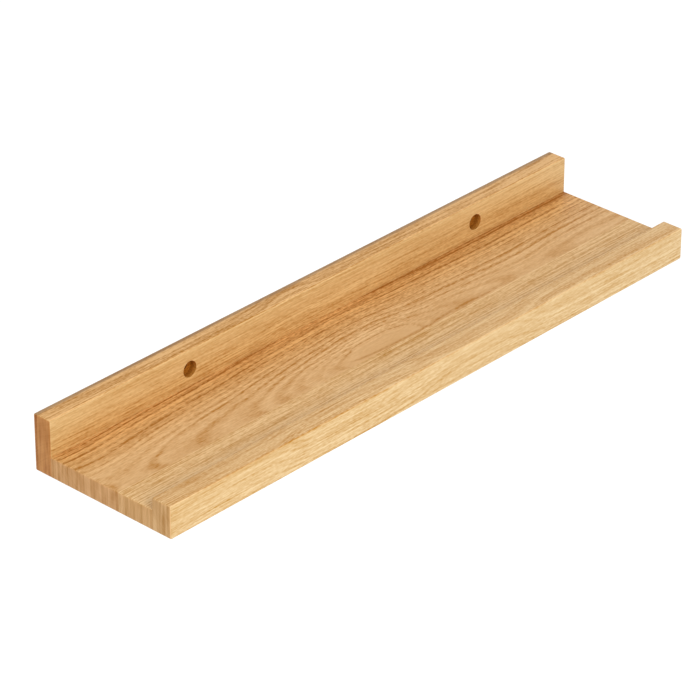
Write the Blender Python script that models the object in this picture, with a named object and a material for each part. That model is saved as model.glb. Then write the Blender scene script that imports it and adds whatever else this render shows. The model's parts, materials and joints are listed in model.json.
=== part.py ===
"""Oak wall shelf: a ledge with a tall back board, a glued-up shelf board and a low front lip.

+X runs along the shelf to the right as seen from the room, +Y into the wall and +Z up.
The origin lies on the wall face, midway along the shelf and level with the screw holes.
Lengths are in metres.
"""

import math

import bmesh
import bpy
from mathutils import Vector

# Overall sizes
LENGTH = 0.600
DEPTH = 0.146
BACK_HEIGHT = 0.050
LIP_HEIGHT = 0.0285

# Boards
BACK_THICKNESS = 0.018
SHELF_THICKNESS = 0.018
LIP_THICKNESS = 0.020
REAR_STAVE_WIDTH = 0.0725
ARRIS_RADIUS = 0.0015
ARRIS_SEGMENTS = 4
GLUE_LINE = 0.0003

# Screw holes in the back board
LEFT_HOLE_INSET = 0.149
RIGHT_HOLE_INSET = 0.1155
HOLE_HEIGHT_SHARE = 0.46
SCREW_HOLE_DIAMETER = 0.005
HEAD_BORE_DIAMETER = 0.014
HEAD_BORE_DEPTH = 0.006
RIM_ROUND = 0.0005
RIM_SEGMENTS = 3

# Dowels and their sockets
DOWEL_DIAMETER = 0.008
DOWEL_CHAMFER = 0.0009
FLUTE_DEPTH = 0.0003
FLUTES = 20
DOWEL_IN_SHELF = 0.020
DOWEL_COVER = 0.006
SOCKET_CLEARANCE = 0.0003
SOCKET_RESERVOIR = 0.001
BACK_DOWELS = 6
LIP_DOWELS = 5
DOWEL_END_INSET = 0.045

# How far a cutter runs past the face that it opens
OVERRUN = 0.004

# Points nearer than this are one point
MERGE_DISTANCE = 0.000001

# How finely round cuts are drawn
HOLE_SIDES = 48
SOCKET_SIDES = 24
SMOOTH_ANGLE = math.radians(35.0)

# Levels, with the screw holes at zero and part of the way up the back board's show face
UNDERSIDE = -SHELF_THICKNESS - HOLE_HEIGHT_SHARE * (BACK_HEIGHT - SHELF_THICKNESS)
SHELF_TOP = UNDERSIDE + SHELF_THICKNESS
LIP_TOP = UNDERSIDE + LIP_HEIGHT
BACK_TOP = UNDERSIDE + BACK_HEIGHT

# Faces that run the length of the shelf, from the wall towards the room
WALL_FACE = 0.0
BACK_FRONT = WALL_FACE - BACK_THICKNESS
STAVE_JOINT = BACK_FRONT - REAR_STAVE_WIDTH
FRONT_FACE = WALL_FACE - DEPTH
LIP_REAR = FRONT_FACE + LIP_THICKNESS

OAK_LIGHT = (0.72, 0.49, 0.24, 1.0)
OAK_GOLDEN = (0.63, 0.36, 0.15, 1.0)
OAK_TAN = (0.66, 0.41, 0.19, 1.0)
BEECH = (0.74, 0.55, 0.38, 1.0)


def clear_scene():
    for item in list(bpy.data.objects):
        bpy.data.objects.remove(item, do_unlink=True)


def wood(name, colour, roughness):
    material = bpy.data.materials.new(name)
    material.use_nodes = True
    shader = material.node_tree.nodes["Principled BSDF"]
    shader.inputs["Base Color"].default_value = colour
    shader.inputs["Roughness"].default_value = roughness
    shader.inputs["Metallic"].default_value = 0.0
    material.diffuse_color = colour
    return material


def place(name, mesh, location, parent, group):
    piece = bpy.data.objects.new(name, mesh)
    piece.location = location
    piece.parent = parent
    group.objects.link(piece)
    return piece


def helper(name, mesh, location, parent, group):
    """A cutter or guide, which is not part of the shelf."""
    piece = place(name, mesh, location, parent, group)
    piece.hide_render = True
    piece.display_type = "WIRE"
    return piece


def section_outline():
    """The shelf's section as (y, z) corners, from the wall's bottom corner towards the room."""
    return [
        (WALL_FACE, UNDERSIDE),
        (FRONT_FACE, UNDERSIDE),
        (FRONT_FACE, LIP_TOP),
        (LIP_REAR, LIP_TOP),
        (LIP_REAR, SHELF_TOP),
        (BACK_FRONT, SHELF_TOP),
        (BACK_FRONT, BACK_TOP),
        (WALL_FACE, BACK_TOP),
    ]


def slices():
    """Each board's slice of the section: past the blank outside, and half a glue line back inside."""
    half = GLUE_LINE / 2
    low = UNDERSIDE - OVERRUN
    above_shelf = SHELF_TOP + OVERRUN
    return {
        "back_board": [
            (WALL_FACE + OVERRUN, low),
            (BACK_FRONT + half, low),
            (BACK_FRONT + half, SHELF_TOP + half),
            (BACK_FRONT - OVERRUN, SHELF_TOP + half),
            (BACK_FRONT - OVERRUN, BACK_TOP + OVERRUN),
            (WALL_FACE + OVERRUN, BACK_TOP + OVERRUN),
        ],
        "shelf_rear_stave": [
            (BACK_FRONT - half, low),
            (STAVE_JOINT + half, low),
            (STAVE_JOINT + half, above_shelf),
            (BACK_FRONT - half, above_shelf),
        ],
        "shelf_front_stave": [
            (STAVE_JOINT - half, low),
            (LIP_REAR + half, low),
            (LIP_REAR + half, above_shelf),
            (STAVE_JOINT - half, above_shelf),
        ],
        "front_lip": [
            (LIP_REAR - half, low),
            (FRONT_FACE - OVERRUN, low),
            (FRONT_FACE - OVERRUN, LIP_TOP + OVERRUN),
            (LIP_REAR + OVERRUN, LIP_TOP + OVERRUN),
            (LIP_REAR + OVERRUN, SHELF_TOP + half),
            (LIP_REAR - half, SHELF_TOP + half),
        ],
    }


def extruded(outline, length):
    """A bmesh of a (y, z) outline run along X, with its middle at X zero."""
    form = bmesh.new()
    end = form.faces.new([form.verts.new((-length / 2, y, z)) for y, z in outline])
    run = bmesh.ops.extrude_face_region(form, geom=[end])
    moved = [item for item in run["geom"] if isinstance(item, bmesh.types.BMVert)]
    bmesh.ops.translate(form, verts=moved, vec=Vector((length, 0.0, 0.0)))
    bmesh.ops.recalc_face_normals(form, faces=form.faces)
    return form


def sanded_blank_mesh():
    """The whole glued-up shelf in one piece, with its outer arrises rounded by sanding."""
    form = extruded(section_outline(), LENGTH)
    outer = [edge for edge in form.edges if edge.is_convex]
    rounded = bmesh.ops.bevel(
        form,
        geom=outer,
        offset=ARRIS_RADIUS,
        offset_type="OFFSET",
        segments=ARRIS_SEGMENTS,
        profile=0.5,
        affect="EDGES",
        clamp_overlap=True,
    )
    for face in rounded["faces"]:
        face.smooth = True
    mesh = bpy.data.meshes.new("sanded_blank")
    form.to_mesh(mesh)
    form.free()
    return mesh


def turned_mesh(name, profile, sides):
    """A solid turned about the Y axis from (radius, y) points that start and end on the axis."""
    form = bmesh.new()
    points = [form.verts.new((radius, y, 0.0)) for radius, y in profile]
    line = [form.edges.new(pair) for pair in zip(points, points[1:])]
    bmesh.ops.spin(
        form,
        geom=points + line,
        axis=(0.0, 1.0, 0.0),
        cent=(0.0, 0.0, 0.0),
        angle=math.tau,
        steps=sides,
        use_merge=True,
    )
    bmesh.ops.remove_doubles(form, verts=form.verts, dist=MERGE_DISTANCE)
    bmesh.ops.recalc_face_normals(form, faces=form.faces)
    mesh = bpy.data.meshes.new(name)
    form.to_mesh(mesh)
    form.free()
    mesh.shade_smooth()
    mesh.set_sharp_from_angle(angle=SMOOTH_ANGLE)
    return mesh


def screw_hole_mesh():
    """The cutter for one hole: the screw's clearance hole, the bore for its head, a softened rim."""
    screw = SCREW_HOLE_DIAMETER / 2
    head = HEAD_BORE_DIAMETER / 2
    seat = BACK_FRONT + HEAD_BORE_DEPTH
    profile = [
        (0.0, WALL_FACE + OVERRUN),
        (screw, WALL_FACE + OVERRUN),
        (screw, seat),
        (head, seat),
    ]
    for step in range(RIM_SEGMENTS + 1):
        turn = math.pi / 2 * step / RIM_SEGMENTS
        radius = head + RIM_ROUND * (1.0 - math.cos(turn))
        profile.append((radius, BACK_FRONT + RIM_ROUND * (1.0 - math.sin(turn))))
    profile += [
        (head + RIM_ROUND, BACK_FRONT - OVERRUN),
        (0.0, BACK_FRONT - OVERRUN),
    ]
    return turned_mesh("screw_hole_cutter", profile, HOLE_SIDES)


def socket_mesh(name, front, back):
    """The cutter for a dowel's two blind sockets, from its front end to its back end along Y."""
    radius = DOWEL_DIAMETER / 2 + SOCKET_CLEARANCE
    near = front - SOCKET_RESERVOIR
    far = back + SOCKET_RESERVOIR
    profile = [(0.0, near), (radius, near), (radius, far), (0.0, far)]
    return turned_mesh(name, profile, SOCKET_SIDES)


def dowel_mesh(name, front, back):
    """A fluted dowel with chamfered ends, lying along Y from its front end to its back end."""
    form = bmesh.new()
    crest = DOWEL_DIAMETER / 2
    stations = [
        (front, crest - DOWEL_CHAMFER, 0.0),
        (front + DOWEL_CHAMFER, crest, FLUTE_DEPTH),
        (back - DOWEL_CHAMFER, crest, FLUTE_DEPTH),
        (back, crest - DOWEL_CHAMFER, 0.0),
    ]
    rings = []
    for y, radius, flute in stations:
        ring = []
        for step in range(2 * FLUTES):
            reach = radius - flute * (step % 2)
            angle = math.tau * step / (2 * FLUTES)
            ring.append(form.verts.new((reach * math.cos(angle), y, reach * math.sin(angle))))
        rings.append(ring)
    for near, far in zip(rings, rings[1:]):
        for step in range(2 * FLUTES):
            after = (step + 1) % (2 * FLUTES)
            form.faces.new((near[step], near[after], far[after], far[step]))
    form.faces.new(rings[0])
    form.faces.new(rings[-1])
    bmesh.ops.recalc_face_normals(form, faces=form.faces)
    mesh = bpy.data.meshes.new(name)
    form.to_mesh(mesh)
    form.free()
    return mesh


def boolean(piece, name, operation, other=None, others=None):
    cut = piece.modifiers.new(name, "BOOLEAN")
    cut.operation = operation
    cut.solver = "EXACT"
    if others is None:
        cut.object = other
    else:
        cut.operand_type = "COLLECTION"
        cut.collection = others


def board(name, outline, material, blank, cutters, parent):
    """One board: what its slice keeps of the sanded blank, less its holes and dowel sockets."""
    form = extruded(outline, LENGTH + 2 * OVERRUN)
    mesh = bpy.data.meshes.new(name)
    form.to_mesh(mesh)
    form.free()
    mesh.materials.append(material)
    piece = place(name, mesh, (0.0, 0.0, 0.0), parent, bpy.context.scene.collection)
    boolean(piece, "sanded outline", "INTERSECT", other=blank)
    for cutter in cutters:
        boolean(piece, cutter.name, "DIFFERENCE", others=cutter)
    return piece


def spread(count, inset):
    """Places along the length, evenly apart, with the outer two at inset from the ends."""
    reach = LENGTH / 2 - inset
    return [-reach + 2 * reach * step / (count - 1) for step in range(count)]


def hidden_group(name):
    group = bpy.data.collections.new(name)
    bpy.context.scene.collection.children.link(group)
    group.hide_render = True
    return group


def dowel_row(name, count, front, back, material, sockets, parent):
    """A row of dowels at mid thickness of the shelf board, and the cutters of their sockets."""
    middle = (UNDERSIDE + SHELF_TOP) / 2
    dowel = dowel_mesh(name, front, back)
    dowel.materials.append(material)
    socket = socket_mesh(name + "_socket", front, back)
    for number, x in enumerate(spread(count, DOWEL_END_INSET), start=1):
        where = (x, 0.0, middle)
        place(f"{name}_{number}", dowel, where, parent, bpy.context.scene.collection)
        helper(f"{name}_socket_{number}", socket, where, parent, sockets)


def build():
    clear_scene()
    shelf = bpy.data.objects.new("wall_shelf", None)
    bpy.context.scene.collection.objects.link(shelf)

    guides = hidden_group("guides")
    screw_holes = hidden_group("screw holes")
    back_sockets = hidden_group("back dowel sockets")
    lip_sockets = hidden_group("lip dowel sockets")

    blank = helper("sanded_blank", sanded_blank_mesh(), (0.0, 0.0, 0.0), shelf, guides)

    hole = screw_hole_mesh()
    hole_places = {
        "left_hole_cutter": -LENGTH / 2 + LEFT_HOLE_INSET,
        "right_hole_cutter": LENGTH / 2 - RIGHT_HOLE_INSET,
    }
    for name, x in hole_places.items():
        helper(name, hole, (x, 0.0, 0.0), shelf, screw_holes)

    beech = wood("beech dowel", BEECH, 0.6)
    dowel_row(
        "back_dowel",
        BACK_DOWELS,
        BACK_FRONT - DOWEL_IN_SHELF,
        WALL_FACE - DOWEL_COVER - SOCKET_RESERVOIR,
        beech,
        back_sockets,
        shelf,
    )
    dowel_row(
        "lip_dowel",
        LIP_DOWELS,
        FRONT_FACE + DOWEL_COVER + SOCKET_RESERVOIR,
        LIP_REAR + DOWEL_IN_SHELF,
        beech,
        lip_sockets,
        shelf,
    )

    boards = {
        "back_board": (OAK_GOLDEN, [screw_holes, back_sockets]),
        "shelf_rear_stave": (OAK_TAN, [back_sockets]),
        "shelf_front_stave": (OAK_TAN, [lip_sockets]),
        "front_lip": (OAK_LIGHT, [lip_sockets]),
    }
    for name, outline in slices().items():
        colour, cutters = boards[name]
        oak = wood("oak " + name.replace("_", " "), colour, 0.5)
        board(name, outline, oak, blank, cutters, shelf)


build()
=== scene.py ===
"""The looks of the oak wall shelf: its boards dressed in finely sanded, figured and oiled oak.

Places are in metres in the part's own frame. Wood grain is worked out in millimetres.
"""

import json
import math
from dataclasses import dataclass

import bmesh
import bpy
from mathutils import Matrix, Vector

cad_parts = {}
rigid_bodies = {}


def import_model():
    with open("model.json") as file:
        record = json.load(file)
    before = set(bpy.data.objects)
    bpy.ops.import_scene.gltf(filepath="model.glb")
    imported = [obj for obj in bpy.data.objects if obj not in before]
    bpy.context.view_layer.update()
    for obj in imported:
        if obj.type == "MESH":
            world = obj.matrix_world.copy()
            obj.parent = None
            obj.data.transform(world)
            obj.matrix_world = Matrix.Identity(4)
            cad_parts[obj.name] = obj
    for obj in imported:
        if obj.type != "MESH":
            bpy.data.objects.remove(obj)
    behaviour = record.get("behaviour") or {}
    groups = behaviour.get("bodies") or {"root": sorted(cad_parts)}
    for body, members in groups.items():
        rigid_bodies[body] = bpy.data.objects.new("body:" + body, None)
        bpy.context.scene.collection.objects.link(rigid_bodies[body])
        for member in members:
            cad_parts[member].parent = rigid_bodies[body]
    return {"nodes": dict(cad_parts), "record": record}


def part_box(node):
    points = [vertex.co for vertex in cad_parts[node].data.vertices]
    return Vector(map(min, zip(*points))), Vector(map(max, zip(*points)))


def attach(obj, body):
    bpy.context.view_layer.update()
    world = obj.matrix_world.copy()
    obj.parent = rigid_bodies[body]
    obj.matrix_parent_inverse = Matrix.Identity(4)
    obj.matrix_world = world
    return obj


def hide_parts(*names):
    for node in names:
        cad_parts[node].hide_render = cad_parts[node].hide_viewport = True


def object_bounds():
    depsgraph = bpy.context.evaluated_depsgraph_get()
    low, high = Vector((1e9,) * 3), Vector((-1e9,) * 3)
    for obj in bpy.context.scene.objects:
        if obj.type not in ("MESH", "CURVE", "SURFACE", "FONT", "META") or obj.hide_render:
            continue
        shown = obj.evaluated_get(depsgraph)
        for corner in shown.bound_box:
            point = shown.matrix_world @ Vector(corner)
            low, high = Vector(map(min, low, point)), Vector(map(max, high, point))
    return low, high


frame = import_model()
cad_low, cad_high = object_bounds()

MM = 0.001
BOARD_LENGTH_MM = (cad_high.x - cad_low.x) / MM
SHELF_DEPTH_MM = (cad_high.y - cad_low.y) / MM

# Directions
ORIGIN = (0.0, 0.0, 0.0)
TO_RIGHT = (1.0, 0.0, 0.0)
TO_WALL = (0.0, 1.0, 0.0)
TO_ROOM = (0.0, -1.0, 0.0)
UP = (0.0, 0.0, 1.0)
DOWN = (0.0, 0.0, -1.0)

# The photograph's camera
PHOTO_SIDE_PIXELS = 700
FOCAL_LENGTH_PIXELS = 3952.4
SENSOR_WIDTH_MM = 36.0
CAMERA_AZIMUTH = math.radians(-47.155)
CAMERA_ELEVATION = math.radians(29.667)
CAMERA_ROLL = math.radians(0.126)
CAMERA_FROM_LOWEST_CORNER = Vector((-1.7183, -1.7734, 1.5666))
CLIP_START = 0.05
CLIP_END = 100.0

# Light and floor
WHITE = (1.0, 1.0, 1.0, 1.0)
WORLD_STRENGTH = 0.60
KEY_DIRECTION = Vector((-0.30, -0.84, 0.45))
KEY_DISTANCE = 2.4
KEY_SIZE = 1.5
KEY_WATTS = 35.0
FLOOR_BELOW = 0.7
FLOOR_SIZE = 30.0
FLOOR_COLOUR = (0.8, 0.8, 0.8, 1.0)
FLOOR_LIFT = 0.55

# Sanded arrises and joints
ARRIS_RADIUS = 1.4 * MM
ARRIS_SEGMENTS = 7
GLUE_LINE = 0.06 * MM

# Screw holes, and the groove that the bit's spur leaves round each seat
SCREW_HOLE_RADIUS = 2.5 * MM
HEAD_BORE_RADIUS = 7.0 * MM
HOLE_SIDES = 96
RIM_ROUND = 0.4 * MM
RIM_SEGMENTS = 5
RIM_FACE_WOOD = RIM_ROUND / 2
SPUR_GROOVE_WIDTH = 0.5 * MM
SPUR_GROOVE_DEPTH = 0.35 * MM
SPUR_TIP_INSET = SPUR_GROOVE_WIDTH / 3

# Dowel sockets
SOCKET_CLEARANCE = 0.3 * MM
SOCKET_RESERVOIR = 1.0 * MM
SOCKET_SIDES = 32

# Modelling
OVERRUN = 4 * MM
MERGE_DISTANCE = 0.001 * MM
SMOOTH_ANGLE = math.radians(35.0)


class Field:
    """A number, vector or colour that varies over a surface, so that a material reads as a formula."""

    def __init__(self, socket):
        self.socket = socket

    def __add__(self, other):
        return calc("ADD", self, other)

    def __radd__(self, other):
        return calc("ADD", other, self)

    def __sub__(self, other):
        return calc("SUBTRACT", self, other)

    def __rsub__(self, other):
        return calc("SUBTRACT", other, self)

    def __mul__(self, other):
        return calc("MULTIPLY", self, other)

    def __rmul__(self, other):
        return calc("MULTIPLY", other, self)

    def __truediv__(self, other):
        return calc("DIVIDE", self, other)


def add_node(tree, kind, inputs, **settings):
    """A new shader node, its inputs linked to fields or set to plain values."""
    node = tree.nodes.new("ShaderNode" + kind)
    for name, value in settings.items():
        setattr(node, name, value)
    for key, value in inputs.items():
        if isinstance(value, Field):
            tree.links.new(value.socket, node.inputs[key])
        else:
            node.inputs[key].default_value = value
    return node


def tree_of(*values):
    """The node tree of the first field among these values."""
    return next(value for value in values if isinstance(value, Field)).socket.id_data


def calc(operation, *values):
    node = add_node(tree_of(*values), "Math", dict(enumerate(values)), operation=operation)
    return Field(node.outputs[0])


def size_of(value):
    return calc("ABSOLUTE", value)


def root_of_squares(a, b):
    return calc("SQRT", a * a + b * b)


def clamped(value):
    return calc("MINIMUM", calc("MAXIMUM", value, 0.0), 1.0)


def smoothstep(value, low, high):
    """0 below low, 1 above high and smooth between; it falls where low is above high."""
    ends = {"Value": value, "From Min": low, "From Max": high}
    node = add_node(tree_of(value), "MapRange", ends, interpolation_type="SMOOTHSTEP")
    return Field(node.outputs[0])


def vector(x, y, z):
    node = add_node(tree_of(x, y, z), "CombineXYZ", {0: x, 1: y, 2: z})
    return Field(node.outputs[0])


def scaled(colour, factor):
    """A colour or vector multiplied by one factor."""
    node = add_node(tree_of(colour, factor), "VectorMath", {0: colour, 3: factor}, operation="SCALE")
    return Field(node.outputs[0])


def dot(field, direction):
    node = add_node(tree_of(field), "VectorMath", {0: field, 1: direction}, operation="DOT_PRODUCT")
    return Field(node.outputs["Value"])


def run(place, start, direction):
    """How far a place lies from the start in this direction, in millimetres."""
    ends = {0: place, 1: tuple(start)}
    from_start = add_node(tree_of(place), "VectorMath", ends, operation="SUBTRACT")
    return dot(Field(from_start.outputs[0]), tuple(part / MM for part in direction))


def mixed(first, second, share):
    """The first colour turning into the second as share goes from 0 to 1."""
    colours = {0: share, 6: first, 7: second}
    node = add_node(tree_of(first, second, share), "Mix", colours, data_type="RGBA")
    return Field(node.outputs[2])


def curve(value, reach, height, points, handles="AUTO"):
    """A smooth curve through (value, result) points, for values up to reach and results up to height."""
    node = add_node(tree_of(value), "FloatCurve", {"Value": value / reach})
    line = node.mapping.curves[0]
    while len(line.points) < len(points):
        line.points.new(0.0, 0.0)
    for mark, (along, result) in zip(line.points, points):
        mark.location = (along / reach, result / height)
        mark.handle_type = handles
    node.mapping.update()
    return Field(node.outputs[0]) * height


def soft_lines(value, reach, lines):
    """Soft lines for values up to reach, from 1 for a dark one to -1 for a light one.

    Each line is its value, half its width, and how dark it is.
    """
    plain = 0.5
    points = []
    for place, half_width, darkness in lines:
        middle = (place, plain + plain * darkness)
        points += [(place - half_width, plain), middle, (place + half_width, plain)]
    return (curve(value, reach, 1.0, points, handles="AUTO_CLAMPED") - plain) / plain


@dataclass(frozen=True)
class Texture:
    """Smooth noise: its cell sizes in millimetres, where in the noise it starts, and how fine it gets."""

    cell: tuple
    seed: float
    detail: float = 2.0


# How far one seed's noise lies from the next one's
SEED_STEP = (7.31, 3.17, 5.83)


def noise(place, texture, seed=0.0):
    """The texture's value at a place, from -1 to 1 about 0."""
    tree = tree_of(place)
    start = seed + texture.seed
    spread = {
        "Vector": place,
        "Location": tuple(start * step for step in SEED_STEP),
        "Scale": tuple(1 / size for size in texture.cell),
    }
    moved = add_node(tree, "Mapping", spread, vector_type="POINT")
    inputs = {"Vector": Field(moved.outputs[0]), "Scale": 1.0, "Detail": texture.detail}
    node = add_node(tree, "TexNoise", inputs, noise_dimensions="3D")
    return (Field(node.outputs["Fac"]) - 0.5) * 2.0


def tone(red, green, blue):
    """A colour from its display numbers, 0 to 255, by the sRGB curve."""

    def linear(number):
        share = number / 255
        return share / 12.92 if share <= 0.04045 else ((share + 0.055) / 1.055) ** 2.4

    return (linear(red), linear(green), linear(blue), 1.0)


def new_material(name):
    material = bpy.data.materials.new(name)
    material.use_nodes = True
    return material


def coat(material, colour, roughness, specular, height, bump_strength, bump_depth):
    """Gives a material's shader its colour, gloss and fine relief."""
    tree = material.node_tree
    shader = tree.nodes["Principled BSDF"]
    tree.links.new(colour.socket, shader.inputs["Base Color"])
    tree.links.new(roughness.socket, shader.inputs["Roughness"])
    shader.inputs["Specular IOR Level"].default_value = specular
    relief = {"Height": height, "Strength": bump_strength, "Distance": bump_depth}
    bump = add_node(tree, "Bump", relief)
    tree.links.new(bump.outputs[0], shader.inputs["Normal"])


class Grain:
    """Where a point lies in its board and how its surface faces. Lengths are in millimetres."""

    def __init__(self, tree, corner, across, into):
        """Along, across and into run from the corner; across and into are unit directions."""
        coordinates = add_node(tree, "TexCoord", {})
        place = Field(coordinates.outputs["Object"])
        normal = Field(coordinates.outputs["Normal"])
        self.section = scaled(place, 1.0 / MM)
        self.from_wall = run(place, ORIGIN, TO_ROOM)
        self.along = run(place, corner, TO_RIGHT)
        self.across = run(place, corner, across)
        self.into = run(place, corner, into)
        self.place = vector(self.along, self.across, self.into)
        facing = add_node(tree, "SeparateXYZ", {0: normal})
        self.facing = [size_of(Field(facing.outputs[axis])) for axis in range(3)]
        self.edgeways = size_of(dot(normal, across))


# Textures that make the rings waver
FEATHER = Texture(cell=(26.0, 1.3, 1.3), seed=0.3, detail=1.0)
SLOW_WANDER = Texture(cell=(90.0, 24.0, 24.0), seed=0.0, detail=1.0)
QUICK_RIPPLE = Texture(cell=(13.0, 4.0, 4.0), seed=0.7)

# Textures on the faces: their cells run along, across and into the board
LINE_FADING = Texture(cell=(60.0, 8.0, 8.0), seed=1.3, detail=1.0)
FLECK = Texture(cell=(3.5, 1.0, 1.0), seed=3.6, detail=0.0)
FIBRE = Texture(cell=(200.0, 1.3, 1.3), seed=2.1, detail=0.0)
DASH = Texture(cell=(25.0, 1.2, 1.2), seed=6.1, detail=0.0)
PORE = Texture(cell=(4.5, 0.5, 0.5), seed=2.9, detail=1.0)
DRIFT = Texture(cell=(120.0, 22.0, 22.0), seed=4.2)
MOTTLE = Texture(cell=(22.0, 7.0, 7.0), seed=5.5)

# Textures that follow the rings: their cells run along the board and out from the pith
BAND = Texture(cell=(110.0, 5.0, 1.0), seed=0.2)
VEIN = Texture(cell=(220.0, 1.4, 1.0), seed=0.5, detail=0.0)

# Textures on the ends: the cells of rays and patches run along X, Y and Z
END_RAY = Texture(cell=(60.0, 2.2, 40.0), seed=6.4)
END_PATCH = Texture(cell=(60.0, 6.0, 16.0), seed=8.1, detail=1.0)
END_PORE = Texture(cell=(60.0, 0.5, 0.5), seed=7.7, detail=1.0)

# Textures of the dowels and of bored wood
BEECH_FLECK = Texture(cell=(0.5, 3.0, 0.5), seed=2.0)
BEECH_CLOUD = Texture(cell=(9.0, 14.0, 9.0), seed=5.0)
BORED_STREAK = Texture(cell=(5.0, 0.5, 0.6), seed=4.0, detail=3.0)

# Where noise starts to count as a pore and where it is wholly one
PORE_EDGE = (0.1, 0.5)

# A year's dark line: the shares of the year's width at which it is full, starts to fade and is gone,
# and how much its own textures and a flat cut change it
LINE_FULL = 0.14
LINE_FADES = 0.16
LINE_GONE = 0.54
LINE_FADING_WEIGHT = 0.8
LINE_FLECK_WEIGHT = 0.6
LINE_FLAT_LOSS = 0.6

# How flat the cut runs to the rings, from 0 to 1: where lines start to thin and are thinnest, and
# where the tip of an arch starts and is full
LINE_THINS = (0.7, 0.92)
ARCH_TIP = (0.92, 0.99)

# The dusk that fills a year at the tip of its arch: the share of the year at which it is deepest
DUSK_DEEPEST = 0.3
DUSK_WEIGHT = 0.15

# Streaks weaken where the cut is flat, and within these distances of the pith
STREAK_FLAT_LOSS = 0.6
PITH_REACH = (8.0, 20.0)
PITH_STREAKS = 0.25

# Slow changes of colour, and how far they move the edge of the tones by the inner corner, which are partly
# painted shade
DRIFT_WEIGHT = 0.15
MOTTLE_WEIGHT = 0.15
CORNER_DRIFT = 8.0

# The calm strip along a board's top edge: how far across it starts to calm, and where it is calmest
CALM_REACH = (22.0, 6.0)

# The growth line that is traced by itself: half its width where it is gone and where it is full, how
# far it takes to fade in and out, and how dark it is
TRACE_WIDTH = (2.2, 0.2)
TRACE_FADE_IN = 10.0
TRACE_FADE_OUT = 12.0
TRACE_WEIGHT = 0.4
TRACE_FLECK_WEIGHT = 0.5

# The back board's top edge, darker towards the wall: the colour, and the millimetres from the wall at
# which the darkening starts and is full
DARK_TOP_EDGE_BY_WALL = tone(150, 116, 82)
DARK_TOP_EDGE_BY_WALL_REACH = (5.8, 2.8)

# How far a surface turns, as a share of its normal, before it counts as an edge, an end or an arris
EDGE_FACING = (0.6, 0.85)
END_FACING = (0.55, 0.85)
ARRIS_FACING = (0.1, 0.5)
EDGE_SHADE = 0.32
# How much paler the arrises are: partly edge wear, partly a painted highlight
ARRIS_HIGHLIGHT_GAIN = 0.03

# The ends
END_SHADE = 0.3225
END_GROWTH_WEIGHT = 0.08
END_RAY_WEIGHT = 0.7
END_PATCH_WEIGHT = 0.4
END_PORE_WEIGHT = 0.15
END_LINE_WEIGHT = 0.3
END_LINE_WAVER = 0.7

# The growth lines and the glue line that show most on the ends: millimetres from the wall, half
# the width, and how dark, which is below zero for a light one
END_LINES = (
    (2.8, 1.5, 1.0),
    (13.0, 2.5, -0.3),
    (19.7, 2.5, 1.0),
    (25.5, 1.8, 0.9),
    (29.2, 1.8, -0.9),
    (35.8, 2.2, 1.0),
    (41.0, 1.7, 0.9),
    (49.0, 1.5, 0.8),
    (62.5, 2.5, -0.5),
    (75.5, 3.0, 0.8),
    (83.0, 2.0, -0.9),
    (89.6, 1.8, 1.0),
    (103.0, 1.5, 0.8),
    (123.0, 1.7, -0.8),
    (137.0, 1.2, -0.9),
    (139.5, 1.2, 0.5),
    (143.0, 1.7, 1.0),
)

# Gloss and relief
OAK_ROUGHNESS = 0.5
PORE_ROUGHNESS = 0.10
MOTTLE_ROUGHNESS = 0.04
EARLY_ROUGHNESS = 0.05
OAK_SPECULAR = 0.3
FIBRE_HOLLOW = 0.05
PORE_HOLLOW = 0.7
PLAIN_PORES = 0.4
OAK_BUMP_STRENGTH = 0.3
OAK_BUMP_DEPTH = 0.12 * MM


@dataclass(frozen=True, kw_only=True)
class Timber:
    """How one board's oak grew, was sawn and took its oil.

    Lengths are in millimetres. Each course is (along, value) points from the left end. Each weight is
    how far its texture goes from the light tone to the dark one.
    """

    seed: float

    # The pith's place above the face, each year's (width, darkness) from the pith out, and how far
    # the rings waver slowly, quickly and from fibre to fibre
    pith_across: float
    pith_depth: tuple
    rings: tuple
    wander: float = 0.3
    ripple: float = 0.25
    feather: float = 5.0

    # Tones of the face and the ends, and of the edges where they aren't the face's
    light: tuple
    dark: tuple
    end_light: tuple
    end_dark: tuple
    edge_light: tuple = ()
    edge_dark: tuple = ()

    # Tones by the inner corner, partly the wood's own and partly painted shade of the corner, and how far
    # across they are full and are gone
    light_with_corner_shade: tuple = ()
    dark_with_corner_shade: tuple = ()
    corner_shade_reach: tuple = ()

    # How dark the face is along the board, and a tint along it with where across it starts and is full; on
    # some boards the tint is painted shade or painted light by an inner corner
    shade: tuple
    tint_and_shading: tuple
    tint_and_shading_reach: tuple
    tint_and_shading_weight: float = 0.35

    # The (along, across) course of one growth line that is drawn by itself
    trace: tuple = ()

    line_weight: float
    edge_line_weight: float = 0.2
    band_weight: float
    vein_weight: float
    fibre_weight: float
    dash_weight: float
    fleck_weight: float

    # How much stronger the edges' streaks are, and how strong the calm strip and the darker strip along
    # the top edge by the wall are
    edge_gain: float = 0.0
    calm: float = 0.0
    rim_weight: float = 0.0


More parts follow.
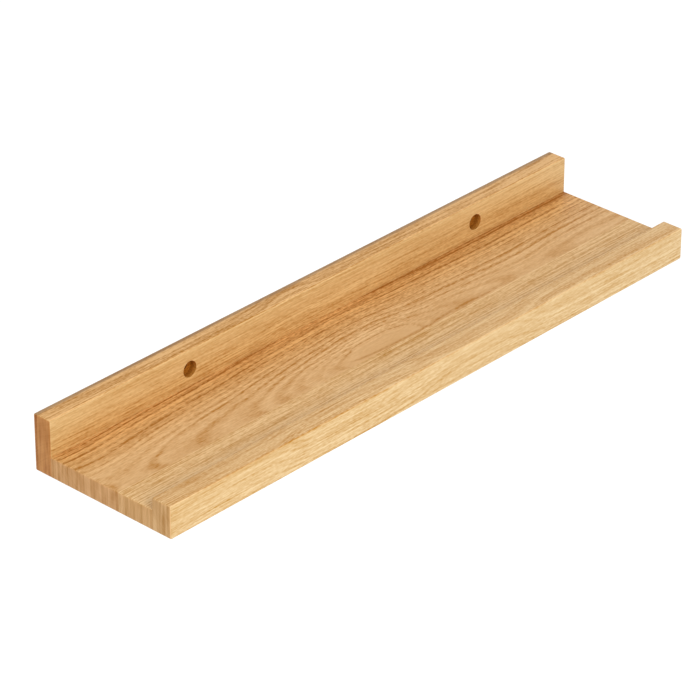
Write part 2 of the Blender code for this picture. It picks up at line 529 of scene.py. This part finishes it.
def growth(grain, timber):
    """The distance from the pith, the years since it, the year's darkness and how flat the cut is.

    The rings lie about a pith that is above the board's face and comes nearer and goes further
    away along the log, which draws the arches and eyes on the face.
    """
    feathered = grain.along + timber.feather * noise(grain.place, FEATHER, timber.seed)
    slow = timber.wander * noise(grain.place, SLOW_WANDER, timber.seed)
    quick = timber.ripple * noise(grain.place, QUICK_RIPPLE, timber.seed)
    deepest = max(depth for along, depth in timber.pith_depth)
    depth = grain.into + curve(feathered, BOARD_LENGTH_MM, deepest, timber.pith_depth)
    radius = root_of_squares(grain.across - timber.pith_across, depth) + slow + quick
    starts = [(0.0, 0.0)]
    for width, darkness in timber.rings:
        reached, number = starts[-1]
        starts.append((reached + width, number + 1.0))
    outermost, count = starts[-1]
    years = curve(radius, outermost, count, starts, handles="AUTO_CLAMPED")
    darks = [(float(number), darkness) for number, (width, darkness) in enumerate(timber.rings)]
    darkness = curve(calc("FLOOR", years), count, 1.0, darks, handles="VECTOR")
    return radius, years, darkness, depth / radius


class Figure:
    """One board's growth and textures, each a field over its surface."""

    def __init__(self, grain, timber):
        seed = timber.seed
        radius, years, darkness, self.flatness = growth(grain, timber)
        season = years - calc("FLOOR", years)
        self.early = smoothstep(season, 0.0, LINE_FULL) * smoothstep(season, LINE_GONE, LINE_FADES)
        self.fleck = noise(grain.place, FLECK, seed)
        fading = noise(grain.place, LINE_FADING, seed)
        line = self.early * darkness * (1.0 + LINE_FADING_WEIGHT * fading)
        line = line * (1.0 + LINE_FLECK_WEIGHT * self.fleck)
        self.line = line * (1.0 - LINE_FLAT_LOSS * smoothstep(self.flatness, *LINE_THINS))
        deepening = smoothstep(season, 0.0, DUSK_DEEPEST) * smoothstep(season, 1.0, DUSK_DEEPEST)
        self.dusk = deepening * darkness * smoothstep(self.flatness, *ARCH_TIP)
        ring_place = vector(grain.along, radius, 0.0)
        self.band = noise(ring_place, BAND, seed)
        self.vein = noise(ring_place, VEIN, seed)
        self.off_pith = smoothstep(radius, *PITH_REACH)
        self.fibre = noise(grain.place, FIBRE, seed)
        self.dash = noise(grain.place, DASH, seed)
        self.pores = smoothstep(noise(grain.place, PORE, seed), *PORE_EDGE)
        self.drift = noise(grain.place, DRIFT, seed)
        self.mottle = noise(grain.place, MOTTLE, seed)


def streaks(grain, timber, figure, edgeways):
    """All that runs along the board: bands, veins, fibres, dashes, flecks, growth lines and dusk."""
    fine = timber.band_weight * figure.band
    fine = fine + timber.vein_weight * figure.vein
    fine = fine + timber.fibre_weight * figure.fibre
    fine = fine + timber.dash_weight * figure.dash
    fine = fine + timber.fleck_weight * figure.fleck
    fine = fine * (1.0 - STREAK_FLAT_LOSS * figure.flatness * figure.flatness)
    fine = fine * (PITH_STREAKS + (1.0 - PITH_STREAKS) * figure.off_pith)
    fine = fine * (1.0 + timber.edge_gain * edgeways)
    line_weight = timber.line_weight + (timber.edge_line_weight - timber.line_weight) * edgeways
    calm = timber.calm * smoothstep(grain.across, *CALM_REACH) * (1.0 - edgeways)
    return (fine + line_weight * figure.line + DUSK_WEIGHT * figure.dusk) * (1.0 - calm)


def traced_line(grain, course):
    """One growth line along a course of (along, across) places, fading at both ends."""
    widest = max(across for along, across in course)
    start, end = course[0][0], course[-1][0]
    away = size_of(grain.across - curve(grain.along, BOARD_LENGTH_MM, widest, course))
    fade_in = smoothstep(grain.along, start, start + TRACE_FADE_IN)
    fade_out = smoothstep(grain.along, end, end - TRACE_FADE_OUT)
    return smoothstep(away, *TRACE_WIDTH) * fade_in * fade_out


def face_colour(grain, timber, figure):
    """The faces and edges: their tones by place, and how far every texture goes from light to dark."""
    edgeways = smoothstep(grain.edgeways, *EDGE_FACING)
    light, dark = timber.light, timber.dark
    # Tones by the inner corner: partly the wood's own, partly painted shade of the corner
    if timber.corner_shade_reach:
        full, gone = timber.corner_shade_reach
        with_corner_shade = smoothstep(grain.across + CORNER_DRIFT * figure.drift, gone, full)
        light = mixed(light, timber.light_with_corner_shade, with_corner_shade)
        dark = mixed(dark, timber.dark_with_corner_shade, with_corner_shade)
    light = mixed(light, timber.edge_light or timber.light, edgeways)
    dark = mixed(dark, timber.edge_dark or timber.dark, edgeways)

    shade = curve(grain.along, BOARD_LENGTH_MM, 1.0, timber.shade)
    # A tint along the board: the wood's tone, and on some boards painted shade or painted light by an
    # inner corner
    tint_and_shading = curve(grain.along, BOARD_LENGTH_MM, 1.0, timber.tint_and_shading)
    tint_and_shading = tint_and_shading * smoothstep(grain.across, *timber.tint_and_shading_reach)
    amount = EDGE_SHADE + (shade - EDGE_SHADE) * (1.0 - edgeways)
    amount = amount + streaks(grain, timber, figure, edgeways)
    amount = amount + DRIFT_WEIGHT * figure.drift + MOTTLE_WEIGHT * figure.mottle
    amount = amount + timber.tint_and_shading_weight * tint_and_shading
    if timber.trace:
        flecked = 1.0 + TRACE_FLECK_WEIGHT * figure.fleck
        amount = amount + TRACE_WEIGHT * traced_line(grain, timber.trace) * flecked
    face = mixed(light, dark, clamped(amount))
    # A darker strip along the back board's top edge by the wall
    if timber.rim_weight:
        rim = edgeways * smoothstep(grain.from_wall, *DARK_TOP_EDGE_BY_WALL_REACH)
        face = mixed(face, DARK_TOP_EDGE_BY_WALL, timber.rim_weight * rim)
    return face


def end_colour(grain, timber, figure):
    """The end grain: rays and patches, pores, the year's lines, and the lines that show most."""
    rays = noise(grain.section, END_RAY, timber.seed)
    patch = noise(grain.section, END_PATCH, timber.seed)
    pores = smoothstep(noise(grain.place, END_PORE, timber.seed), *PORE_EDGE)
    from_wall = grain.from_wall + END_LINE_WAVER * patch
    amount = END_SHADE + END_GROWTH_WEIGHT * (figure.line + figure.vein)
    amount = amount + END_RAY_WEIGHT * rays + END_PATCH_WEIGHT * patch + END_PORE_WEIGHT * pores
    amount = amount + END_LINE_WEIGHT * soft_lines(from_wall, SHELF_DEPTH_MM, END_LINES)
    return mixed(timber.end_light, timber.end_dark, clamped(amount))


def oak(name, timber, corner, across, into):
    """Sanded and oiled oak: figured faces, end grain, slightly paler arrises that are partly edge wear and
    partly a painted highlight, and open pores.
    """
    material = new_material(name)
    grain = Grain(material.node_tree, corner, across, into)
    figure = Figure(grain, timber)
    endways, by_y, by_z = grain.facing
    face = face_colour(grain, timber, figure)
    end = end_colour(grain, timber, figure)
    colour = mixed(face, end, smoothstep(endways, *END_FACING))
    # Paler arrises: partly edge wear, partly a painted highlight
    colour = scaled(colour, 1.0 + ARRIS_HIGHLIGHT_GAIN * smoothstep(by_y * by_z, *ARRIS_FACING))
    roughness = OAK_ROUGHNESS + PORE_ROUGHNESS * figure.pores
    roughness = roughness + MOTTLE_ROUGHNESS * figure.mottle + EARLY_ROUGHNESS * figure.early
    hollow = FIBRE_HOLLOW * (figure.vein + figure.fibre)
    hollow = hollow + PORE_HOLLOW * figure.pores * (PLAIN_PORES + figure.early)
    coat(material, colour, roughness, OAK_SPECULAR, 1.0 - hollow, OAK_BUMP_STRENGTH, OAK_BUMP_DEPTH)
    return material


REAR_TIMBER = Timber(
    seed=3.0,
    pith_across=66.5,
    pith_depth=(
        (0, 41.6),
        (22, 43.6),
        (45, 42.0),
        (80, 37.7),
        (120, 34.1),
        (160, 30.5),
        (200, 24.0),
        (240, 16.7),
        (270, 10.9),
        (300, 1.5),
        (330, 10.0),
        (360, 20.0),
        (400, 23.4),
        (440, 26.2),
        (480, 28.4),
        (520, 26.8),
        (560, 25.8),
        (600, 26.3),
    ),
    rings=(
        (14.3, 0.0),
        (3.9, 0.8),
        (3.8, 0.5),
        (4.0, 0.5),
        (4.4, 0.6),
        (4.8, 0.9),
        (5.9, 0.8),
        (3.3, 1.0),
        (5.1, 0.5),
        (3.3, 0.6),
        (4.8, 0.6),
        (4.6, 0.9),
        (4.9, 0.3),
        (5.1, 1.0),
        (3.7, 0.7),
        (3.5, 1.0),
        (4.2, 0.6),
        (4.0, 0.8),
    ),
    light=tone(246, 202, 145),
    dark=tone(190, 127, 46),
    # Darker, more orange tones towards the back board: partly the wood's own, partly painted shade of the
    # inner corner
    light_with_corner_shade=tone(245, 192, 122),
    dark_with_corner_shade=tone(168, 105, 34),
    corner_shade_reach=(4.0, 46.0),
    end_light=tone(239, 186, 128),
    end_dark=tone(177, 113, 24),
    shade=((0, 0.34), (300, 0.34), (375, 0.38), (450, 0.34), (600, 0.34)),
    # Darker along the back board: partly the wood's own, partly painted shade of the inner corner
    tint_and_shading=((0, 0.2), (150, 0.35), (220, 0.8), (280, 0.5), (350, 0.8), (450, 1), (550, 1), (600, 0.8)),
    tint_and_shading_reach=(10.0, 2.5),
    trace=((258, 65), (276, 69), (330, 71.5), (385, 68.8), (430, 69.5), (448, 66)),
    line_weight=0.6,
    band_weight=0.2,
    vein_weight=0.4,
    fibre_weight=0.3,
    dash_weight=0.3,
    fleck_weight=0.5,
)

FRONT_TIMBER = Timber(
    seed=8.0,
    pith_across=-55.0,
    pith_depth=((0, 34), (200, 30), (400, 38), (600, 33)),
    rings=((2.3, 0.5), (1.9, 0.9), (2.1, 0.4), (1.7, 0.7)) * 26,
    wander=1.0,
    light=tone(250, 209, 152),
    dark=tone(196, 137, 54),
    end_light=tone(243, 194, 135),
    end_dark=tone(181, 121, 31),
    shade=((0, 0.34), (600, 0.34)),
    # Painted light: paler towards the lip, where the lip's shade falls
    tint_and_shading=((0, 1), (600, 1)),
    tint_and_shading_reach=(87.0, 95.0),
    tint_and_shading_weight=-0.14,
    line_weight=0.15,
    band_weight=0.1,
    vein_weight=0.28,
    fibre_weight=0.52,
    dash_weight=0.42,
    fleck_weight=0.4,
)

BACK_TIMBER = Timber(
    seed=14.0,
    pith_across=92.0,
    pith_depth=((0, 36), (150, 42), (230, 38), (268, 30), (300, 37), (450, 45), (600, 40)),
    rings=((2.2, 0.5), (2.0, 0.8), (2.4, 0.4), (1.9, 0.6)) * 16,
    light=tone(228, 191, 134),
    dark=tone(174, 121, 44),
    # Darker tones towards the bottom: partly the wood's own, partly painted shade of the inner corner with
    # the shelf
    light_with_corner_shade=tone(219, 176, 113),
    dark_with_corner_shade=tone(161, 101, 24),
    corner_shade_reach=(30.0, 8.0),
    edge_light=tone(243, 192, 128),
    edge_dark=tone(184, 121, 33),
    end_light=tone(225, 159, 91),
    end_dark=tone(160, 87, 8),
    shade=((0, 0.26), (110, 0.32), (430, 0.32), (490, 0.2), (600, 0.14)),
    # Darker towards the bottom at the right end
    tint_and_shading=((0, 0), (80, 0.1), (430, 0.1), (490, 0.5), (560, 0.5), (600, 0.3)),
    tint_and_shading_reach=(22.0, 30.0),
    line_weight=0.25,
    edge_line_weight=0.45,
    band_weight=0.2,
    vein_weight=0.35,
    fibre_weight=0.4,
    dash_weight=0.35,
    fleck_weight=0.35,
    edge_gain=0.6,
    calm=0.35,
    rim_weight=0.7,
)

LIP_TIMBER = Timber(
    seed=21.0,
    pith_across=-12.0,
    pith_depth=((0, 20), (95, 23), (180, 10), (265, 18), (350, 32), (450, 17), (600, 15)),
    rings=(
        (6.0, 0.3),
        (5.5, 0.4),
        (5.0, 0.5),
        (5.4, 0.6),
        (4.7, 0.5),
        (5.2, 0.6),
        (3.8, 1.0),
        (3.8, 0.3),
        (4.4, 1.0),
        (5.2, 0.4),
        (5.0, 0.6),
        (5.0, 0.5),
        (5.0, 0.5),
    ),
    wander=0.8,
    light=tone(237, 207, 157),
    dark=tone(187, 133, 43),
    edge_light=tone(244, 205, 149),
    edge_dark=tone(192, 129, 42),
    end_light=tone(240, 194, 136),
    end_dark=tone(178, 117, 26),
    shade=((0, 0.38), (150, 0.36), (300, 0.32), (450, 0.28), (600, 0.27)),
    tint_and_shading=((0, 0.3), (150, 0.25), (225, 0.1), (300, 0), (600, 0)),
    tint_and_shading_reach=(2.0, 0.5),
    line_weight=0.2,
    edge_line_weight=0.1,
    band_weight=0.25,
    vein_weight=0.25,
    fibre_weight=0.3,
    dash_weight=0.35,
    fleck_weight=0.35,
    edge_gain=1.15,
)

# Beech: where noise starts to count as a fleck and is wholly one, and how much of it shows
BEECH_PALE = tone(222, 190, 150)
BEECH_DARK = tone(178, 132, 92)
BEECH_FLECK_EDGE = (0.25, 0.6)
BEECH_FLECK_WEIGHT = 0.7
BEECH_CLOUD_GAIN = 0.08
BEECH_ROUGHNESS = 0.62
BEECH_FLECK_ROUGHNESS = 0.1
BEECH_SPECULAR = 0.5
BEECH_BUMP_STRENGTH = 0.4
BEECH_BUMP_DEPTH = 0.1 * MM

# Bored wood: tones of the bore's wall and of its seat, where noise starts to count as a dark streak
# and is wholly one, and the millimetres from the wall at which the seat's tones start and are full
BORE_WALL_LIGHT = tone(206, 142, 62)
BORE_WALL_DARK = tone(150, 96, 34)
# The seat's tones are darker: partly the cut wood's own, partly painted shade deep in the bore
BORE_SEAT_LIGHT = tone(168, 104, 28)
BORE_SEAT_DARK = tone(120, 67, 14)
BORED_STREAK_EDGE = (-0.4, 0.5)
BORE_SEAT_REACH = (17.0, 13.0)
BORED_ROUGHNESS = 0.7
BORED_STREAK_ROUGHNESS = 0.1
BORED_SPECULAR = 0.1
BORED_BUMP_STRENGTH = 0.5
BORED_BUMP_DEPTH = 0.1 * MM


def beech():
    """Bare beech for the dowels: pale, with short dark flecks along the grain."""
    material = new_material("bare beech")
    grain = Grain(material.node_tree, ORIGIN, TO_WALL, UP)
    fleck = smoothstep(noise(grain.place, BEECH_FLECK), *BEECH_FLECK_EDGE)
    cloud = noise(grain.place, BEECH_CLOUD)
    colour = mixed(BEECH_PALE, BEECH_DARK, BEECH_FLECK_WEIGHT * fleck)
    colour = scaled(colour, 1.0 + BEECH_CLOUD_GAIN * cloud)
    roughness = BEECH_ROUGHNESS + BEECH_FLECK_ROUGHNESS * fleck
    height = cloud - fleck
    coat(material, colour, roughness, BEECH_SPECULAR, height, BEECH_BUMP_STRENGTH, BEECH_BUMP_DEPTH)
    return material


def bored_oak():
    """The cut wood of the screw holes and dowel sockets: streaked, rough, and darker towards a screw's
    seat, partly as painted shade deep in the bore.
    """
    material = new_material("bored oak")
    grain = Grain(material.node_tree, ORIGIN, TO_WALL, UP)
    streak = noise(grain.place, BORED_STREAK)
    streaked = smoothstep(streak, *BORED_STREAK_EDGE)
    wall = mixed(BORE_WALL_LIGHT, BORE_WALL_DARK, streaked)
    seat = mixed(BORE_SEAT_LIGHT, BORE_SEAT_DARK, streaked)
    # Darker towards the seat: partly the cut wood's own, partly painted shade deep in the bore
    colour = mixed(wall, seat, smoothstep(grain.from_wall, *BORE_SEAT_REACH))
    roughness = BORED_ROUGHNESS + BORED_STREAK_ROUGHNESS * streak
    coat(material, colour, roughness, BORED_SPECULAR, streak, BORED_BUMP_STRENGTH, BORED_BUMP_DEPTH)
    return material


class Shelf:
    """The faces that the boards share, read from the frame."""

    def __init__(self):
        back_low, back_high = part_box("back_board")
        rear_low, rear_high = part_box("shelf_rear_stave")
        front_low, front_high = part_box("shelf_front_stave")
        lip_low, lip_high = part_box("front_lip")
        self.left = back_low.x
        self.right = back_high.x
        self.wall = back_high.y
        self.back_front = back_low.y
        self.stave_joint = (rear_low.y + front_high.y) / 2
        self.lip_rear = lip_high.y
        self.front = lip_low.y
        self.underside = back_low.z
        self.shelf_top = rear_high.z
        self.lip_top = lip_high.z
        self.back_top = back_high.z

    def outline(self):
        """The section as (y, z) corners, from the wall's bottom corner towards the room."""
        return [
            (self.wall, self.underside),
            (self.front, self.underside),
            (self.front, self.lip_top),
            (self.lip_rear, self.lip_top),
            (self.lip_rear, self.shelf_top),
            (self.back_front, self.shelf_top),
            (self.back_front, self.back_top),
            (self.wall, self.back_top),
        ]

    def slices(self):
        """Each board's slice of the section, past the blank outside and half a glue line back inside."""
        half = GLUE_LINE / 2
        low = self.underside - OVERRUN
        above_shelf = self.shelf_top + OVERRUN
        return {
            "back_board": [
                (self.wall + OVERRUN, low),
                (self.back_front + half, low),
                (self.back_front + half, self.shelf_top + half),
                (self.back_front - OVERRUN, self.shelf_top + half),
                (self.back_front - OVERRUN, self.back_top + OVERRUN),
                (self.wall + OVERRUN, self.back_top + OVERRUN),
            ],
            "shelf_rear_stave": [
                (self.back_front - half, low),
                (self.stave_joint + half, low),
                (self.stave_joint + half, above_shelf),
                (self.back_front - half, above_shelf),
            ],
            "shelf_front_stave": [
                (self.stave_joint - half, low),
                (self.lip_rear + half, low),
                (self.lip_rear + half, above_shelf),
                (self.stave_joint - half, above_shelf),
            ],
            "front_lip": [
                (self.lip_rear - half, low),
                (self.front - OVERRUN, low),
                (self.front - OVERRUN, self.lip_top + OVERRUN),
                (self.lip_rear + OVERRUN, self.lip_top + OVERRUN),
                (self.lip_rear + OVERRUN, self.shelf_top + half),
                (self.lip_rear - half, self.shelf_top + half),
            ],
        }


def mesh_of(form, name):
    """A mesh of a bmesh, which is freed."""
    mesh = bpy.data.meshes.new(name)
    form.to_mesh(mesh)
    form.free()
    return mesh


def extruded(outline, left, right):
    """A bmesh of a (y, z) outline run along X from left to right."""
    form = bmesh.new()
    end = form.faces.new([form.verts.new((left, y, z)) for y, z in outline])
    region = bmesh.ops.extrude_face_region(form, geom=[end])
    moved = [item for item in region["geom"] if isinstance(item, bmesh.types.BMVert)]
    bmesh.ops.translate(form, verts=moved, vec=Vector((right - left, 0.0, 0.0)))
    bmesh.ops.recalc_face_normals(form, faces=form.faces)
    return form


def sanded_blank(shelf):
    """The whole glued-up shelf in one piece, its outer arrises rounded over."""
    form = extruded(shelf.outline(), shelf.left, shelf.right)
    bmesh.ops.bevel(
        form,
        geom=[edge for edge in form.edges if edge.is_convex],
        offset=ARRIS_RADIUS,
        offset_type="OFFSET",
        segments=ARRIS_SEGMENTS,
        profile=0.5,
        affect="EDGES",
        clamp_overlap=True,
    )
    return bpy.data.objects.new("sanded blank", mesh_of(form, "sanded blank"))


def turned(name, profile, sides):
    """A solid turned about the Y axis from (radius, y) points that start and end on the axis."""
    form = bmesh.new()
    points = [form.verts.new((radius, y, 0.0)) for radius, y in profile]
    line = [form.edges.new(pair) for pair in zip(points, points[1:])]
    bmesh.ops.spin(
        form,
        geom=points + line,
        axis=TO_WALL,
        cent=ORIGIN,
        angle=math.tau,
        steps=sides,
        use_merge=True,
    )
    bmesh.ops.remove_doubles(form, verts=form.verts, dist=MERGE_DISTANCE)
    bmesh.ops.recalc_face_normals(form, faces=form.faces)
    return bpy.data.objects.new(name, mesh_of(form, name))


def hole_cutter(shelf, x, seat, face_wood, bored):
    """One screw hole's cutter: clearance hole, head bore down to the seat, spur groove and soft rim.

    The outer half of the rim takes the wood of the board's face and the rest is bored wood.
    """
    profile = [
        (0.0, shelf.wall + OVERRUN),
        (SCREW_HOLE_RADIUS, shelf.wall + OVERRUN),
        (SCREW_HOLE_RADIUS, seat + RIM_ROUND),
        (SCREW_HOLE_RADIUS + RIM_ROUND, seat),
        (HEAD_BORE_RADIUS - SPUR_GROOVE_WIDTH, seat),
        (HEAD_BORE_RADIUS - SPUR_TIP_INSET, seat + SPUR_GROOVE_DEPTH),
        (HEAD_BORE_RADIUS, seat),
    ]
    for step in range(RIM_SEGMENTS + 1):
        turn = math.pi / 2 * step / RIM_SEGMENTS
        radius = HEAD_BORE_RADIUS + RIM_ROUND * (1.0 - math.cos(turn))
        profile.append((radius, shelf.back_front + RIM_ROUND * (1.0 - math.sin(turn))))
    profile += [
        (HEAD_BORE_RADIUS + RIM_ROUND, shelf.back_front - OVERRUN),
        (0.0, shelf.back_front - OVERRUN),
    ]
    cutter = turned("hole cutter", profile, HOLE_SIDES)
    cutter.location.x = x
    cutter.data.materials.append(face_wood)
    cutter.data.materials.append(bored)
    for face in cutter.data.polygons:
        face.material_index = int(face.center.y > shelf.back_front + RIM_FACE_WOOD)
    return cutter


def hole_cutters(shelf, face_wood, bored):
    """A cutter for each screw seat that the record's mounts give."""
    mounts = {mount["name"]: mount["pos_m"] for mount in frame["record"]["mounts"]}
    seats = [mounts["left_screw_seat"], mounts["right_screw_seat"]]
    return [hole_cutter(shelf, x, y, face_wood, bored) for x, y, z in seats]


def socket_cutters(kind, bored):
    """A cutter for each of these dowels' pairs of blind sockets, with a little room round the dowel."""
    cutters = []
    for name in sorted(node for node in frame["nodes"] if node.startswith(kind)):
        low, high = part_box(name)
        radius = (high.x - low.x) / 2 + SOCKET_CLEARANCE
        near = low.y - SOCKET_RESERVOIR
        far = high.y + SOCKET_RESERVOIR
        profile = [(0.0, near), (radius, near), (radius, far), (0.0, far)]
        cutter = turned(name + " socket cutter", profile, SOCKET_SIDES)
        cutter.location = ((low.x + high.x) / 2, 0.0, (low.z + high.z) / 2)
        cutter.data.materials.append(bored)
        cutters.append(cutter)
    return cutters


def carve(piece, others):
    """Applies Booleans of piece with the other objects: (object, operation) pairs."""
    for number, (other, operation) in enumerate(others):
        cut = piece.modifiers.new(f"cut {number}", "BOOLEAN")
        cut.operation = operation
        cut.solver = "EXACT"
        cut.object = other
    bpy.context.view_layer.update()
    shaped = piece.evaluated_get(bpy.context.evaluated_depsgraph_get())
    mesh = bpy.data.meshes.new_from_object(shaped)
    piece.modifiers.clear()
    piece.data = mesh


def board_oaks(shelf):
    """Each board's oak, whose grain runs from the left end of an upper edge."""
    top = Vector((shelf.left, shelf.back_front, shelf.shelf_top))
    back = Vector((shelf.left, shelf.back_front, shelf.back_top))
    lip = Vector((shelf.left, shelf.front, shelf.lip_top))
    return {
        "back_board": oak("oak back board", BACK_TIMBER, back, across=DOWN, into=TO_WALL),
        "shelf_rear_stave": oak("oak rear stave", REAR_TIMBER, top, across=TO_ROOM, into=DOWN),
        "shelf_front_stave": oak("oak front stave", FRONT_TIMBER, top, across=TO_ROOM, into=DOWN),
        "front_lip": oak("oak front lip", LIP_TIMBER, lip, across=DOWN, into=TO_WALL),
    }


def dress_boards(shelf):
    """Replaces each board by its slice of the sanded blank, with its holes and sockets cut."""
    objects = bpy.context.scene.collection.objects
    oaks = board_oaks(shelf)
    bored = bored_oak()
    blank = sanded_blank(shelf)
    holes = hole_cutters(shelf, oaks["back_board"], bored)
    back_sockets = socket_cutters("back_dowel", bored)
    lip_sockets = socket_cutters("lip_dowel", bored)
    cuts = {
        "back_board": holes + back_sockets,
        "shelf_rear_stave": back_sockets,
        "shelf_front_stave": lip_sockets,
        "front_lip": lip_sockets,
    }
    helpers = [blank] + holes + back_sockets + lip_sockets
    for helper in helpers:
        objects.link(helper)
    for node, outline in shelf.slices().items():
        form = extruded(outline, shelf.left - OVERRUN, shelf.right + OVERRUN)
        piece = bpy.data.objects.new("oak_" + node, mesh_of(form, node))
        objects.link(piece)
        piece.data.materials.append(oaks[node])
        piece.data.materials.append(bored)
        carve(piece, [(blank, "INTERSECT")] + [(cutter, "DIFFERENCE") for cutter in cuts[node]])
        piece.data.shade_smooth()
        piece.data.set_sharp_from_angle(angle=SMOOTH_ANGLE)
        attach(piece, "root")
        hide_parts(node)
    for helper in helpers:
        bpy.data.objects.remove(helper)


def dress_dowels():
    wood = beech()
    for name, node in frame["nodes"].items():
        if "dowel" in name:
            node.data.materials.clear()
            node.data.materials.append(wood)


def make_camera():
    camera = bpy.data.objects.new("camera", bpy.data.cameras.new("camera"))
    bpy.context.scene.collection.objects.link(camera)
    camera.data.sensor_width = SENSOR_WIDTH_MM
    camera.data.lens = SENSOR_WIDTH_MM * FOCAL_LENGTH_PIXELS / PHOTO_SIDE_PIXELS
    camera.data.clip_start = CLIP_START
    camera.data.clip_end = CLIP_END
    level = math.cos(CAMERA_ELEVATION)
    forward = Vector(
        (
            -math.sin(CAMERA_AZIMUTH) * level,
            math.cos(CAMERA_AZIMUTH) * level,
            -math.sin(CAMERA_ELEVATION),
        )
    )
    place = Matrix.Translation(cad_low + CAMERA_FROM_LOWEST_CORNER)
    turn = forward.to_track_quat("-Z", "Y").to_matrix().to_4x4()
    roll = Matrix.Rotation(CAMERA_ROLL, 4, "Z")
    camera.matrix_world = place @ turn @ roll
    bpy.context.scene.camera = camera


def seen_directly(tree):
    """1 for rays that show a thing itself: from the camera, mirrored, or through glass."""
    path = add_node(tree, "LightPath", {})
    ways = [Field(path.outputs[f"Is {way} Ray"]) for way in ("Camera", "Glossy", "Transmission")]
    return calc("MAXIMUM", ways[0], calc("MAXIMUM", ways[1], ways[2]))


def make_world():
    """An even white world that lights the shelf at a plain level and shows as white itself."""
    world = bpy.data.worlds.new("white studio")
    world.use_nodes = True
    bpy.context.scene.world = world
    tree = world.node_tree
    background = tree.nodes["Background"]
    background.inputs["Color"].default_value = WHITE
    strength = WORLD_STRENGTH + (1.0 - WORLD_STRENGTH) * seen_directly(tree)
    tree.links.new(strength.socket, background.inputs["Strength"])


def make_key_light(aim):
    lamp = bpy.data.lights.new("key softbox", "AREA")
    lamp.shape = "SQUARE"
    lamp.size = KEY_SIZE
    lamp.energy = KEY_WATTS
    key = bpy.data.objects.new("key softbox", lamp)
    bpy.context.scene.collection.objects.link(key)
    direction = KEY_DIRECTION.normalized()
    key.location = aim + direction * KEY_DISTANCE
    key.rotation_euler = direction.to_track_quat("Z", "Y").to_euler()
    key.visible_camera = False


def white_floor():
    """White seen from above and clear seen from below, so that the shelf's underside can be seen."""
    material = new_material("white floor")
    tree = material.node_tree
    tree.nodes.remove(tree.nodes["Principled BSDF"])
    diffuse = Field(add_node(tree, "BsdfDiffuse", {"Color": FLOOR_COLOUR}).outputs[0])
    lift = Field(add_node(tree, "Emission", {"Strength": FLOOR_LIFT * seen_directly(tree)}).outputs[0])
    white = Field(add_node(tree, "AddShader", {0: diffuse, 1: lift}).outputs[0])
    clear = Field(add_node(tree, "BsdfTransparent", {}).outputs[0])
    below = Field(add_node(tree, "NewGeometry", {}).outputs["Backfacing"])
    sided = add_node(tree, "MixShader", {0: below, 1: white, 2: clear})
    tree.links.new(sided.outputs[0], tree.nodes["Material Output"].inputs["Surface"])
    return material


def make_floor(shelf):
    """A floor well below the shelf, which hangs on a wall: its soft shadow falls out of frame."""
    form = bmesh.new()
    bmesh.ops.create_grid(form, x_segments=1, y_segments=1, size=FLOOR_SIZE / 2)
    floor = bpy.data.objects.new("floor", mesh_of(form, "floor"))
    floor.location.z = shelf.underside - FLOOR_BELOW
    bpy.context.scene.collection.objects.link(floor)
    floor.data.materials.append(white_floor())


shelf = Shelf()
make_camera()
make_world()
make_key_light((cad_low + cad_high) / 2)
make_floor(shelf)
dress_boards(shelf)
dress_dowels()
bpy.context.scene.view_settings.view_transform = "Standard"
